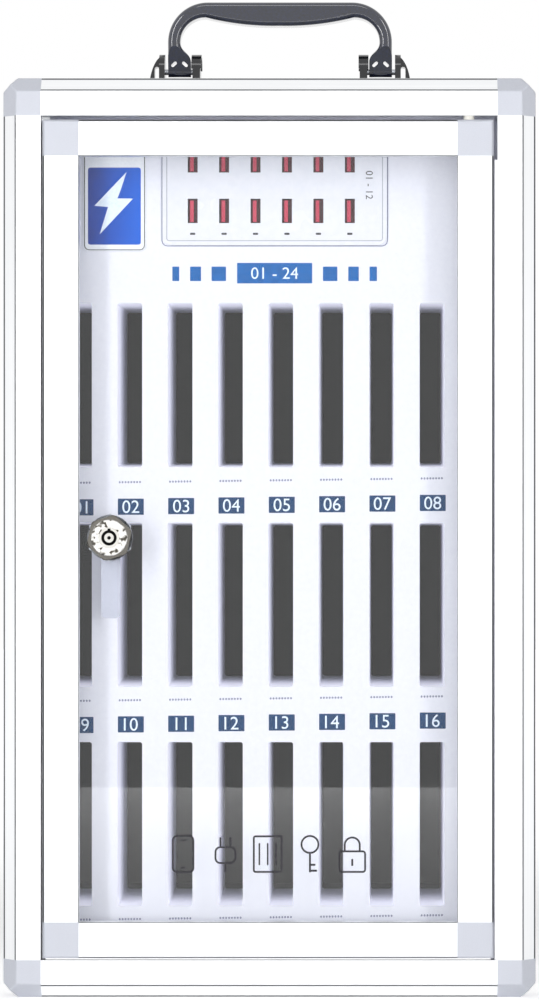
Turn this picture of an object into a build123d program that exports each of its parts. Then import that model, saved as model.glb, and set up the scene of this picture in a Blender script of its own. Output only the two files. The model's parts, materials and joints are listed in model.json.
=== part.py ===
"""Phone locker box with 24 slots: an aluminium framed case with a glazed locking door.

Behind the door a slotted panel fronts a crate of phone pockets, with a twelve port USB charger
above them. A folding handle stands on the top board.

Millimetres. X runs right, Y runs back, Z runs up. The origin is the middle of the case's underside.
Two depths are used throughout: `front(v)` and `rear(v)` give the Y that lies v inside each face.
"""
import os
from math import sqrt

from build123d import *

# Fits
STATIC_FIT = 0.2      # between pieces that are slid together and stay
RUN_FIT = 0.06        # radial, round a pin or plug that turns

# Slots for the phones, which lie on one long edge
COLUMNS = 8
ROWS = 3
SLOT_W = 12.6
SLOT_H = 84.0
COLUMN_PITCH = 25.8
ROW_PITCH = 112.5
SLOT_R = 1.2
COLLAR_WALL = 1.2
COLLAR_DEPTH = 65.0    # from the panel's front, into the pocket
COLLAR_DRAFT_X = 0.9   # each side, over the collar's depth
COLLAR_DRAFT_Z = 2.2
PANEL_T = 2.5
PANEL_RIM = 1.8
PANEL_SETBACK = 30.0   # case front to panel front
POCKET_D = 133.5
CRATE_T = 3.0          # shelf and partition thickness
SHELF_DROP = 2.0       # slot's lower edge to shelf top

# Charger
PORT_COLUMNS = 6
PORT_ROWS = 2
PORT_W = 5.1           # inside the shell
PORT_H = 12.5
PORT_PITCH_X = 16.1
PORT_PITCH_Z = 25.9
PORT_SHIFT = -1.75     # port group from the face's middle
PORT_DEPTH = 14.0
SHELL_T = 0.5
TONGUE_W = 1.9
TONGUE_H = 11.0
TONGUE_SETBACK = 0.4
TONGUE_SHIFT = -0.5    # from the socket's middle
TONGUE_BASE = 8.0      # moulded block at the socket's rear
HUB_FACE_W = 115.0
HUB_FACE_H = 61.0
HUB_FACE_T = 2.0
HUB_FACE_R = 5.0
HUB_BODY_W = 110.0
HUB_BODY_H = 56.0
HUB_WALL = 2.2
HUB_OFFSET = 2.1       # face's middle from the case's middle
BOARD_CU_T = 1.6       # printed circuit boards
POWER_BOARD_L = 95.0
TRANSFORMER = (30.0, 26.0, 22.0)

# Sign plate beside the charger
SIGN_W = 32.0
SIGN_T = 1.0
SIGN_R = 3.0
SIGN_GAP = 8.6         # to the charger's face
SIGN_DROP = 3.0        # below the charger's face
SIGN_RISE = 2.4        # above it

# What the case leaves round the slots and the charger
LEFT_MARGIN = 37.0     # case side to the first column's middle
RIGHT_MARGIN = 52.4
BOTTOM_MARGIN = 43.8   # case underside to the lowest slot
HUB_GAP = 29.7         # top slot to the charger's face
HUB_TOP_MARGIN = 22.5

# Case frame
RAIL_FACE = 19.5
RAIL_SIDE = 22.0
RAIL_TUBE = 11.0
RAIL_WALL = 1.4
RAIL_CHAMFER = 7.2
LINE_W = 0.7           # fine square groove along each edge of a rail's chamfer
LINE_DEPTH = 0.6
LINE_IN = 0.3          # chamfer's edge to its groove
EDGE_TUBE = 13.0
EDGE_CHAMFER = 7.2
GROOVE = 3.2
BOARD_T = 3.0
BACK_T = 3.0
SPIGOT_L = 10.0
CORNER_R = 1.6
STRIKE_LIP = 4.0
STRIKE_T = 1.6

# Door
GAP_LEFT = 0.9
GAP_RIGHT = 2.0
GAP_TOP = 2.1
GAP_BOTTOM = 0.8
DOOR_T = 9.0
DOOR_RAIL = 18.3
DOOR_WALL = 1.2
DOOR_BEVEL = 1.0       # outer edge
WINDOW_BEVEL = 0.4     # edge round the pane
PANE_T = 3.0
PANE_SETBACK = 2.4
PANE_GRIP = 6.0
DOOR_SPIGOT = 12.0
PIVOT_IN = 12.4        # door's hinge edge to the pivot
PIVOT_D = 4.0
PIVOT_COLLAR_D = 5.6
PIVOT_IN_DOOR = 9.0
PIVOT_IN_CASE = 6.0
COLLAR_PLAY = 0.1

# Cam lock through the pane
LOCK_IN = 34.7         # case opening's left edge to the lock
BEZEL_AF = 20.8        # six sided bezel, across its flats
BEZEL_ROUND_D = 23.2   # its corners are turned down to this
BEZEL_TURN = 12.0      # degrees from corner up
BEZEL_H = 2.8
LOCK_FACE_D = 18.4
LOCK_FACE_H = 1.2      # round face, proud of the bezel
BARREL_D = 17.0
BARREL_FLATS = 14.6
BARREL_L = 9.6         # behind the pane's front face
PLUG_D = 10.4
PLUG_BORE_FLOOR = 1.6
KEYWAY_D = 7.8
POST_D = 4.8
POST_DOT_D = 1.8
KEYWAY_DEPTH = 5.0
KEY_NOTCH = 1.6
WASHER_D = 23.0
WASHER_T = 1.0
NUT_AF = 21.0
NUT_T = 3.2
CAM_L = 41.0           # lock's axis to the cam's tip
CAM_W = 9.6
CAM_EYE_D = 13.0
CAM_T = 2.0
TANG = 6.0             # square at the plug's rear
CAM_SCREW_D = 4.0
CAM_SCREW_L = 4.6
CAM_HEAD_D = 8.0
CAM_HEAD_H = 2.4

# Handle and its brackets on the top board
HANDLE_W = 118.0
HANDLE_RISE = 36.3     # pivot to the grip's top
HANDLE_DEPTH = 15.0
HANDLE_OFFSET = 3.4    # from the case's middle
SHOULDER_T = 8.0
GRIP_T = 12.4
SHOULDER_IN = 20.0     # post's outer face to where the grip starts to swell
OUTER_R = 21.0
INNER_R = 13.0
POST_W = 6.6
EYE_W = 12.0
EYE_D = 5.4
FOOT_TAPER = 13.0      # height over which the foot thins to the eye
HANDLE_ROUND = 2.6
SLIT_L = 3.4           # two slanted slits through each foot
SLIT_W = 1.6
SLIT_ANGLE = 42.0
PIN_D = 3.0
PIVOT_RISE = 11.5      # case top to the handle's pivot
BASE_T = 2.2
BASE_DEPTH = 26.0
EAR_OUT_T = 3.0
EAR_IN_T = 4.0
EAR_R = 8.0
EAR_RISE = 9.2         # pivot to the ears' tops
EAR_RIM = 1.5          # raised rim round the inner ear's top
EAR_RIM_PROUD = 0.6
EAR_GAP_IN = 1.0       # eye to the inner ear
EAR_GAP_OUT = 1.6      # eye to the outer ear
ARCH_GAP = 2.5         # between the outer ear and its arch's leg
ARCH_LEG = 3.0
ARCH_T = 8.0
RIVET_D = 4.0
RIVET_HEAD_D = 7.5
RIVET_HEAD_H = 1.6
RIVET_CLINCH_H = 1.2
RIVET_PITCH = 16.0

# Mains inlet in the back panel
INLET_W = 27.0
INLET_H = 19.8
INLET_CAVITY_W = 24.2
INLET_CAVITY_H = 16.6
INLET_CAVITY_D = 15.0
INLET_DEPTH = 19.0
INLET_FLANGE_W = 50.0
INLET_FLANGE_H = 24.0
INLET_FLANGE_T = 2.0
INLET_SCREW_PITCH = 40.0
INLET_SCREW_D = 3.0
INLET_HEAD_D = 5.6
INLET_HEAD_H = 1.6
BLADE = (2.0, 4.0, 12.0)
BLADE_PITCH = 7.0
BLADE_RISE = 2.0

# Wall screw holes in the back panel, behind the four outermost slots
WALL_HOLE_D = 5.0
WALL_HOLE_RISE = 10.0  # above the slot, out of sight and still in reach of a long driver

# Sizes that follow
CASE_W = LEFT_MARGIN + (COLUMNS - 1) * COLUMN_PITCH + RIGHT_MARGIN
TOP_SLOT_Z = BOTTOM_MARGIN + (ROWS - 1) * ROW_PITCH + SLOT_H
HUB_BOTTOM = TOP_SLOT_Z + HUB_GAP
CASE_H = HUB_BOTTOM + HUB_FACE_H + HUB_TOP_MARGIN
CASE_D = PANEL_SETBACK + PANEL_T + POCKET_D + BACK_T + RAIL_TUBE
HALF_W = CASE_W / 2
OPEN_X = HALF_W - RAIL_FACE            # door opening, from the middle
OPEN_TOP = CASE_H - RAIL_FACE
FLANGE_IN = 2 * RAIL_WALL + GROOVE     # inner flange's inner face
BOARD_OUT = RAIL_WALL + (GROOVE - BOARD_T) / 2
BOARD_IN = BOARD_OUT + BOARD_T
HUB_Z = HUB_BOTTOM + HUB_FACE_H / 2
HUB_FLOOR = HUB_Z - HUB_BODY_H / 2
PANEL_REAR = PANEL_SETBACK + PANEL_T
DOOR_X0 = -OPEN_X + GAP_LEFT
DOOR_X1 = OPEN_X - GAP_RIGHT
DOOR_Z0 = RAIL_FACE + GAP_BOTTOM
DOOR_Z1 = OPEN_TOP - GAP_TOP
PIVOT_X = DOOR_X1 - PIVOT_IN
PIVOT_V = DOOR_T / 2
LOCK_X = -OPEN_X + LOCK_IN
LOCK_Z = CASE_H / 2
CAM_V = PANE_SETBACK + BARREL_L + STATIC_FIT
BOARD_TOP = CASE_H - BOARD_OUT         # top board's outer face
HANDLE_Z = CASE_H + PIVOT_RISE


# ---------------------------------------------------------------- helpers

def front(v):
    """Y that lies v behind the case's front face."""
    return -CASE_D / 2 + v


def rear(v):
    """Y that lies v ahead of the case's rear face."""
    return CASE_D / 2 - v


def column_x(i):
    """Middle of slot column i."""
    return -HALF_W + LEFT_MARGIN + i * COLUMN_PITCH


def row_z(j):
    """Lower edge of slot row j."""
    return BOTTOM_MARGIN + j * ROW_PITCH


def span(x0, x1, y0, y1, z0, z1):
    """A block between six planes."""
    size = (abs(x1 - x0), abs(y1 - y0), abs(z1 - z0))
    return Pos((x0 + x1) / 2, (y0 + y1) / 2, (z0 + z1) / 2) * Box(*size)


def prism(points, run):
    """A closed polygon of 3-D points, swept along the vector run."""
    return Solid.extrude(Face(Wire.make_polygon(points)), Vector(*run))


def rod(start, axis, diameter, length):
    """A cylinder from start along axis."""
    return Solid.make_cylinder(diameter / 2, length, Plane(origin=start, z_dir=axis))


def rounded_plate(x0, x1, y0, y1, z0, z1, radius):
    """A plate in the X-Z plane with round corners."""
    plate = span(x0, x1, y0, y1, z0, z1)
    return fillet(plate.edges().filter_by(Axis.Y), radius)


def save(name, shape):
    """Write one piece, or a group of like pieces, to its own file."""
    if isinstance(shape, (list, tuple)):
        shape = Compound(children=list(shape))
    export_step(shape, f"parts/{name}.step")


# ---------------------------------------------------------------- case frame

def lined_chamfer(c):
    """Chamfer of leg c from (0, c) to (c, 0), with a fine groove along each edge."""
    long = c * sqrt(2)
    near, far, deep = LINE_IN, LINE_IN + LINE_W, LINE_DEPTH
    stops = [(0, 0), (near, 0), (near, deep), (far, deep), (far, 0), (long - far, 0),
             (long - far, deep), (long - near, deep), (long - near, 0), (long, 0)]
    return [((along + deep) / sqrt(2), c + (deep - along) / sqrt(2)) for along, deep in stops]


def rail_outline(lip=0.0):
    """Rail section: u in from the case's side, v in from its face, with a board groove."""
    c, f, t, w, s = RAIL_CHAMFER, RAIL_FACE, RAIL_TUBE, RAIL_WALL, RAIL_SIDE
    inner = w + GROOVE
    reveal = [(f, t)]
    if lip:
        reveal = [(f, t - STRIKE_T), (f + lip, t - STRIKE_T), (f + lip, t)]
    flanges = [(FLANGE_IN, t), (FLANGE_IN, s), (inner, s), (inner, t), (w, t), (w, s), (0, s)]
    return lined_chamfer(c) + [(f, 0)] + reveal + flanges


def rail_chamber():
    """The rail's hollow."""
    c = RAIL_CHAMFER + RAIL_WALL * (sqrt(2) - 1)
    f, t, w = RAIL_FACE - RAIL_WALL, RAIL_TUBE - RAIL_WALL, RAIL_WALL
    return [(w, c), (c, w), (f, w), (f, t), (w, t)]


def edge_outline():
    """Edge rail section: u in from the side board, v in from the top or bottom board."""
    k, f, e, w = EDGE_CHAMFER, RAIL_FACE, EDGE_TUBE, RAIL_WALL
    i, j = w + GROOVE, FLANGE_IN
    arm = [(f, 0), (f, w), (e, w), (e, i), (f, i), (f, j), (e, j), (e, e)]
    mirrored = [(v, u) for u, v in reversed(arm[:-1])]
    return lined_chamfer(k) + arm + mirrored


def edge_chamber():
    """The edge rail's hollow."""
    k = EDGE_CHAMFER + RAIL_WALL * (sqrt(2) - 1)
    e, w = EDGE_TUBE - RAIL_WALL, RAIL_WALL
    return [(w, k), (k, w), (e, w), (e, e), (w, e)]


def rail_point(side, end, u, v, w):
    """Case point for a rail section point (u, v) at w along the rail."""
    y = front(v) if end == "front" else rear(v)
    if side in ("left", "right"):
        return (u - HALF_W if side == "left" else HALF_W - u, y, w)
    return (w, y, u if side == "bottom" else CASE_H - u)


def frame_rail(side, end):
    """One hollow rail between two corner blocks."""
    upright = side in ("left", "right")
    w0 = RAIL_FACE if upright else -OPEN_X
    w1 = OPEN_TOP if upright else OPEN_X
    run = (0, 0, w1 - w0) if upright else (w1 - w0, 0, 0)
    lip = STRIKE_LIP if (side, end) == ("left", "front") else 0.0
    rail = prism([rail_point(side, end, u, v, w0) for u, v in rail_outline(lip)], run)
    rail -= prism([rail_point(side, end, u, v, w0) for u, v in rail_chamber()], run)
    if end == "front" and not upright:
        hole = PIVOT_D + 2 * RUN_FIT
        z = OPEN_TOP if side == "top" else RAIL_FACE - PIVOT_IN_CASE
        rail -= rod((PIVOT_X, front(PIVOT_V), z), (0, 0, 1), hole, PIVOT_IN_CASE)
    return rail


def edge_rail(side, level):
    """One hollow edge rail, front to back, between two corner blocks."""
    def point(u, v):
        x = u - HALF_W if side == "left" else HALF_W - u
        z = v if level == "bottom" else CASE_H - v
        return (x, front(RAIL_SIDE), z)
    run = (0, CASE_D - 2 * RAIL_SIDE, 0)
    rail = prism([point(u, v) for u, v in edge_outline()], run)
    return rail - prism([point(u, v) for u, v in edge_chamber()], run)


def corner_block():
    """Moulded corner at the front, bottom, left of a case whose corner is the origin."""
    f, s, c, k = RAIL_FACE, RAIL_SIDE, RAIL_CHAMFER, EDGE_CHAMFER
    block = prism([(k, 0, 0), (f, 0, 0), (f, 0, f), (0, 0, f), (0, 0, k)], (0, s, 0))
    block -= prism([(0, 0, 0), (c, 0, 0), (0, c, 0)], (0, 0, f))
    block -= prism([(0, 0, 0), (0, 0, c), (0, c, 0)], (f, 0, 0))
    outer = [e for e in block.edges() if touches_outside(e)]
    block = fillet(outer, CORNER_R)
    u0 = RAIL_CHAMFER + RAIL_WALL
    u1 = RAIL_FACE - RAIL_WALL - STATIC_FIT
    v0 = RAIL_WALL + STATIC_FIT
    v1 = RAIL_TUBE - RAIL_WALL - STATIC_FIT
    a0 = (EDGE_CHAMFER + RAIL_WALL * sqrt(2)) / 2 + STATIC_FIT
    a1 = EDGE_TUBE - RAIL_WALL - STATIC_FIT
    root = f - 1.0
    block += span(u0, u1, v0, v1, root, f + SPIGOT_L)
    block += span(root, f + SPIGOT_L, v0, v1, u0, u1)
    block += span(a0, a1, s - 1.0, s + SPIGOT_L, a0, a1)
    return block


def touches_outside(edge):
    """True for a corner block's edge that lies wholly off its three seats."""
    box = edge.bounding_box()
    seats = (box.min.X, box.min.Y, box.min.Z)
    limits = (RAIL_FACE, RAIL_SIDE, RAIL_FACE)
    on_seat = any(low > limit - 0.01 for low, limit in zip(seats, limits))
    return not on_seat


def placed_corner(side, level, end):
    """The corner block, mirrored into one of the case's eight corners."""
    block = Pos(-HALF_W, front(0), 0) * corner_block()
    if side == "right":
        block = mirror(block, Plane.YZ)
    if end == "rear":
        block = mirror(block, Plane.XZ)
    if level == "top":
        block = mirror(block, Plane.XY.offset(CASE_H / 2))
    return block


def case_board(face):
    """A side, top or bottom board, with its corners cut for the corner blocks."""
    run0 = EDGE_TUBE + STATIC_FIT
    y0, y1 = front(RAIL_TUBE + STATIC_FIT), rear(RAIL_TUBE + STATIC_FIT)
    notch = RAIL_FACE + STATIC_FIT
    notch_y = RAIL_SIDE + STATIC_FIT
    across = CASE_H if face in ("left", "right") else CASE_W
    low = 0 if face in ("left", "right") else -HALF_W

    def slab(a0, a1, b0, b1):
        t0, t1 = BOARD_OUT, BOARD_IN
        if face == "left":
            return span(t0 - HALF_W, t1 - HALF_W, b0, b1, a0, a1)
        if face == "right":
            return span(HALF_W - t1, HALF_W - t0, b0, b1, a0, a1)
        if face == "bottom":
            return span(a0, a1, b0, b1, t0, t1)
        return span(a0, a1, b0, b1, CASE_H - t1, CASE_H - t0)

    board = slab(low + run0, low + across - run0, front(notch_y), rear(notch_y))
    board += slab(low + notch, low + across - notch, y0, y1)
    if face == "top":
        board -= rivet_shanks(RIVET_D + 2 * RUN_FIT)
    return board


def wall_hole_z(j):
    """Height of the wall screw holes of slot row j, a little above the slot's upper edge."""
    return row_z(j) + SLOT_H + WALL_HOLE_RISE


def back_panel():
    """Back panel against the rear rails' inner faces, with wall holes and the inlet's opening."""
    edge = FLANGE_IN + STATIC_FIT
    notch = RAIL_FACE + STATIC_FIT
    y0, y1 = rear(RAIL_TUBE + BACK_T), rear(RAIL_TUBE)
    panel = span(edge - HALF_W, HALF_W - edge, y0, y1, notch, CASE_H - notch)
    panel += span(notch - HALF_W, HALF_W - notch, y0, y1, edge, CASE_H - edge)
    for i in (0, COLUMNS - 1):
        for j in (0, ROWS - 1):
            panel -= rod((column_x(i), y0, wall_hole_z(j)), (0, 1, 0), WALL_HOLE_D, BACK_T)
    half_w, half_h = INLET_W / 2 + STATIC_FIT, INLET_H / 2 + STATIC_FIT
    panel -= span(HUB_OFFSET - half_w, HUB_OFFSET + half_w, y0, y1, HUB_Z - half_h, HUB_Z + half_h)
    return panel - inlet_shanks(INLET_SCREW_D + 2 * RUN_FIT)


# ---------------------------------------------------------------- door

def door_point(side, u, v, w):
    """Case point for a door rail section point (u in from the door's edge, v back) at w along."""
    if side in ("left", "right"):
        return (DOOR_X0 + u if side == "left" else DOOR_X1 - u, front(v), w)
    return (w, front(v), DOOR_Z0 + u if side == "bottom" else DOOR_Z1 - u)


def door_rail(side):
    """One hollow door rail with the pane's groove along its inner edge."""
    r, t, w, b, c = DOOR_RAIL, DOOR_T, DOOR_WALL, DOOR_BEVEL, WINDOW_BEVEL
    g0, g1 = PANE_SETBACK - STATIC_FIT / 2, PANE_SETBACK + PANE_T + STATIC_FIT / 2
    g = r - PANE_GRIP
    outline = [(0, b), (b, 0), (r - c, 0), (r, c), (r, g0), (g, g0), (g, g1), (r, g1), (r, t), (0, t)]
    chamber = [(w, w), (g - w, w), (g - w, t - w), (w, t - w)]
    upright = side in ("left", "right")
    w0 = (DOOR_Z0 if upright else DOOR_X0) + DOOR_RAIL
    w1 = (DOOR_Z1 if upright else DOOR_X1) - DOOR_RAIL
    run = (0, 0, w1 - w0) if upright else (w1 - w0, 0, 0)
    rail = prism([door_point(side, u, v, w0) for u, v in outline], run)
    return rail - prism([door_point(side, u, v, w0) for u, v in chamber], run)


def door_corner(side, level):
    """Moulded door corner with two spigots, drilled for the pivot on the hinge side."""
    r, b = DOOR_RAIL, DOOR_BEVEL
    g = r - PANE_GRIP - DOOR_WALL - STATIC_FIT
    s0 = DOOR_WALL + STATIC_FIT
    block = span(0, r, 0, DOOR_T, 0, r)
    block -= prism([(0, 0, 0), (b, 0, 0), (0, b, 0)], (0, 0, r))
    block -= prism([(0, 0, 0), (0, 0, b), (0, b, 0)], (r, 0, 0))
    block += span(s0, g, s0, DOOR_T - s0, r - 1.0, r + DOOR_SPIGOT)
    block += span(r - 1.0, r + DOOR_SPIGOT, s0, DOOR_T - s0, s0, g)
    if side == "right":
        block -= rod((PIVOT_IN, PIVOT_V, 0), (0, 0, 1), PIVOT_D + 2 * RUN_FIT, PIVOT_IN_DOOR)
        block = mirror(block, Plane.YZ)
    if level == "top":
        block = mirror(block, Plane.XY)
    x = DOOR_X0 if side == "left" else DOOR_X1
    z = DOOR_Z0 if level == "bottom" else DOOR_Z1
    return Pos(x, front(0), z) * block


def barrel_section(diameter, flats, y0, length):
    """A round bar along Y with two flats, on the lock's axis."""
    bar = rod((LOCK_X, y0, LOCK_Z), (0, 1, 0), diameter, length)
    half = flats / 2
    return bar & span(LOCK_X - half, LOCK_X + half, y0, y0 + length, LOCK_Z - diameter, LOCK_Z + diameter)


def door_pane():
    """Clear acrylic pane in the door rails' grooves, with the lock's hole."""
    edge = DOOR_RAIL - PANE_GRIP + STATIC_FIT
    notch = DOOR_RAIL + STATIC_FIT
    y0, y1 = front(PANE_SETBACK), front(PANE_SETBACK + PANE_T)
    pane = span(DOOR_X0 + edge, DOOR_X1 - edge, y0, y1, DOOR_Z0 + notch, DOOR_Z1 - notch)
    pane += span(DOOR_X0 + notch, DOOR_X1 - notch, y0, y1, DOOR_Z0 + edge, DOOR_Z1 - edge)
    play = 2 * STATIC_FIT
    return pane - barrel_section(BARREL_D + play, BARREL_FLATS + play, y0, PANE_T)


def pivot_pin(level):
    """Nylon pivot pin with a collar in the gap between door and case."""
    gap = GAP_TOP if level == "top" else GAP_BOTTOM
    z0 = DOOR_Z1 if level == "top" else RAIL_FACE
    start = z0 - (PIVOT_IN_DOOR if level == "top" else PIVOT_IN_CASE)
    play = COLLAR_PLAY
    length = PIVOT_IN_DOOR + PIVOT_IN_CASE + gap - 2 * play
    pin = rod((PIVOT_X, front(PIVOT_V), start + play), (0, 0, 1), PIVOT_D, length)
    collar_z = z0 + play if level == "top" else z0
    return pin + rod((PIVOT_X, front(PIVOT_V), collar_z), (0, 0, 1), PIVOT_COLLAR_D, gap - play)


# ---------------------------------------------------------------- lock

def lock_face_y():
    """Y of the lock's round front face."""
    return front(PANE_SETBACK) - BEZEL_H - LOCK_FACE_H


def lock_body():
    """Lock housing: six sided bezel and round face in front of the pane, flatted barrel through it."""
    seat = front(PANE_SETBACK)
    hexagon = RegularPolygon(BEZEL_AF / 2, 6, major_radius=False, rotation=BEZEL_TURN)
    turned = Plane(origin=(LOCK_X, seat - BEZEL_H, LOCK_Z), x_dir=(0, 0, 1), z_dir=(0, 1, 0))
    disc = rod((LOCK_X, seat - BEZEL_H, LOCK_Z), (0, 1, 0), BEZEL_ROUND_D, BEZEL_H)
    disc = chamfer(disc.faces().sort_by(Axis.Y)[0].edges(), BEZEL_H * 0.3)
    bezel = disc & extrude(turned * hexagon, BEZEL_H)
    face = rod((LOCK_X, lock_face_y(), LOCK_Z), (0, 1, 0), LOCK_FACE_D, LOCK_FACE_H)
    face = chamfer(face.faces().sort_by(Axis.Y)[0].edges(), LOCK_FACE_H * 0.4)
    body = bezel + face + barrel_section(BARREL_D, BARREL_FLATS, seat, BARREL_L)
    bore_l = LOCK_FACE_H + BEZEL_H + BARREL_L - PLUG_BORE_FLOOR
    body -= rod((LOCK_X, lock_face_y(), LOCK_Z), (0, 1, 0), PLUG_D + 2 * RUN_FIT, bore_l)
    return body - rod((LOCK_X, seat, LOCK_Z), (0, 1, 0), TANG * sqrt(2) + 2 * RUN_FIT, BARREL_L)


def lock_plug():
    """Turning plug with a ring keyway in front and a square tang behind."""
    y0 = lock_face_y()
    y1 = front(PANE_SETBACK) + BARREL_L - PLUG_BORE_FLOOR - STATIC_FIT
    plug = rod((LOCK_X, y0, LOCK_Z), (0, 1, 0), PLUG_D, y1 - y0)
    ring = rod((LOCK_X, y0, LOCK_Z), (0, 1, 0), KEYWAY_D, KEYWAY_DEPTH)
    ring -= rod((LOCK_X, y0, LOCK_Z), (0, 1, 0), POST_D, KEYWAY_DEPTH)
    plug -= ring
    plug -= rod((LOCK_X, y0, LOCK_Z), (0, 1, 0), POST_DOT_D, KEYWAY_DEPTH / 2)
    half = KEY_NOTCH / 2
    z0, z1 = LOCK_Z + POST_D / 2 + half, LOCK_Z + KEYWAY_D / 2 + half
    plug -= span(LOCK_X - half, LOCK_X + half, y0, y0 + KEYWAY_DEPTH, z0, z1)
    t = TANG / 2
    tang_end = front(CAM_V + CAM_T - STATIC_FIT)
    plug += span(LOCK_X - t, LOCK_X + t, y1 - 1.0, tang_end, LOCK_Z - t, LOCK_Z + t)
    hole = CAM_SCREW_D + 2 * RUN_FIT
    start = (LOCK_X, tang_end - CAM_SCREW_L, LOCK_Z)
    return plug - rod(start, (0, 1, 0), hole, CAM_SCREW_L)


def lock_washer():
    """Flat washer behind the pane."""
    y0 = front(PANE_SETBACK + PANE_T)
    washer = rod((LOCK_X, y0, LOCK_Z), (0, 1, 0), WASHER_D, WASHER_T)
    return washer - rod((LOCK_X, y0, LOCK_Z), (0, 1, 0), BARREL_D + 2 * RUN_FIT, WASHER_T)


def lock_nut():
    """Hexagon nut on the barrel."""
    y0 = front(PANE_SETBACK + PANE_T + WASHER_T)
    hexagon = RegularPolygon(NUT_AF / 2, 6, major_radius=False)
    nut = extrude(Plane(origin=(LOCK_X, y0, LOCK_Z), z_dir=(0, 1, 0)) * hexagon, NUT_T)
    return nut - rod((LOCK_X, y0, LOCK_Z), (0, 1, 0), BARREL_D + 2 * RUN_FIT, NUT_T)


def lock_cam():
    """Cam on the plug's tang, hanging down while the door is unlocked."""
    y0 = front(CAM_V)
    cam = span(LOCK_X - CAM_W / 2, LOCK_X + CAM_W / 2, y0, y0 + CAM_T, LOCK_Z - CAM_L, LOCK_Z)
    foot = cam.edges().filter_by(Axis.Y).sort_by(Axis.Z)[:2]
    cam = fillet(foot, CAM_W / 4)
    cam += rod((LOCK_X, y0, LOCK_Z), (0, 1, 0), CAM_EYE_D, CAM_T)
    t = TANG / 2 + RUN_FIT
    return cam - span(LOCK_X - t, LOCK_X + t, y0, y0 + CAM_T, LOCK_Z - t, LOCK_Z + t)


def cam_screw():
    """Screw that holds the cam on the tang."""
    seat = front(CAM_V + CAM_T)
    screw = rod((LOCK_X, seat - CAM_SCREW_L, LOCK_Z), (0, 1, 0), CAM_SCREW_D, CAM_SCREW_L)
    head = rod((LOCK_X, seat, LOCK_Z), (0, 1, 0), CAM_HEAD_D, CAM_HEAD_H)
    head -= span(LOCK_X - CAM_HEAD_D, LOCK_X + CAM_HEAD_D, seat + 1.2, seat + CAM_HEAD_H,
                 LOCK_Z - 0.6, LOCK_Z + 0.6)
    return screw + head


# ---------------------------------------------------------------- handle

def handle_outline():
    """Half of the handle's outline, from the pivot's height up, in X-Z about its middle."""
    half = HANDLE_W / 2
    top = HANDLE_RISE
    under = top - SHOULDER_T
    post = half - POST_W
    eye = half - EYE_W
    c = sqrt(0.5)
    outer = Line((half, 0), (half, top - OUTER_R))
    bend_mid = (half - OUTER_R * (1 - c), top - OUTER_R * (1 - c))
    bend = ThreePointArc((half, top - OUTER_R), bend_mid, (half - OUTER_R, top))
    crown = Line((half - OUTER_R, top), (0, top))
    middle = Line((0, top), (0, top - GRIP_T))
    shoulder = half - SHOULDER_IN
    swell = ThreePointArc((0, top - GRIP_T), (shoulder * 0.55, top - GRIP_T + 1.1), (shoulder, under))
    flat = Line((shoulder, under), (post - INNER_R, under))
    inner_mid = (post - INNER_R * (1 - c), under - INNER_R * (1 - c))
    inner = ThreePointArc((post - INNER_R, under), inner_mid, (post, under - INNER_R))
    flare = Spline((post, under - INNER_R), (eye, EYE_D), tangents=[(0, -1), (-0.1, -1)])
    foot = Line((eye, EYE_D), (eye, 0))
    base = Line((eye, 0), (half, 0))
    return make_face([outer, bend, crown, middle, swell, flat, inner, flare, foot, base])


def foot_slits():
    """Two slanted slits through a foot, leaning together at the top."""
    middle = (HANDLE_W - EYE_W) / 2
    slits = []
    for lean in (-1, 1):
        slit = extrude(Plane.XZ * SlotOverall(SLIT_L, SLIT_W), HANDLE_DEPTH, both=True)
        place = Pos(middle + lean * EYE_W * 0.24, 0, EYE_D * 0.7)
        slits.append(place * Rot(0, lean * SLIT_ANGLE, 0) * slit)
    return slits


def carry_handle():
    """Moulded handle, upright: two feet that thin to an eye round the bracket's pin."""
    half = extrude(Plane.XZ * handle_outline(), HANDLE_DEPTH / 2, both=True)
    body = half + mirror(half, Plane.YZ)
    sides = body.faces().filter_by(Axis.Y)
    rims = [e for face in sides for e in face.edges() if e.center().Z > EYE_D / 2]
    body = fillet(rims, HANDLE_ROUND)
    side, thin, tall = HANDLE_DEPTH / 2, EYE_D / 2, 2 * HANDLE_RISE
    flank = [(-side, tall), (-side, FOOT_TAPER), (-thin, 0), (thin, 0), (side, FOOT_TAPER), (side, tall)]
    body &= prism([(-HANDLE_W, y, z) for y, z in flank], (2 * HANDLE_W, 0, 0))
    body -= foot_slits()
    body -= [mirror(slit, Plane.YZ) for slit in foot_slits()]
    for x0 in (HANDLE_W / 2 - EYE_W, -HANDLE_W / 2):
        body += rod((x0, 0, 0), (1, 0, 0), EYE_D, EYE_W)
        body -= rod((x0, 0, 0), (1, 0, 0), PIN_D + 2 * RUN_FIT, EYE_W)
    return Pos(HANDLE_OFFSET, 0, HANDLE_Z) * body


def ear_spans():
    """Inner and outer X of the inner ear, the outer ear and the arch's leg, from the handle's middle."""
    eye_out = HANDLE_W / 2
    in1 = eye_out - EYE_W - EAR_GAP_IN
    out0 = eye_out + EAR_GAP_OUT
    out1 = out0 + EAR_OUT_T
    leg = out1 + ARCH_GAP
    return (in1 - EAR_IN_T, in1), (out0, out1), (leg, leg + ARCH_LEG)


def ear(x0, x1, radius):
    """Upright ear with a round top."""
    base_z = BOARD_TOP - HANDLE_Z
    crown = EAR_RISE - EAR_R
    return span(x0, x1, -radius, radius, base_z, crown) + rod((x0, 0, crown), (1, 0, 0), 2 * radius, x1 - x0)


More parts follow.
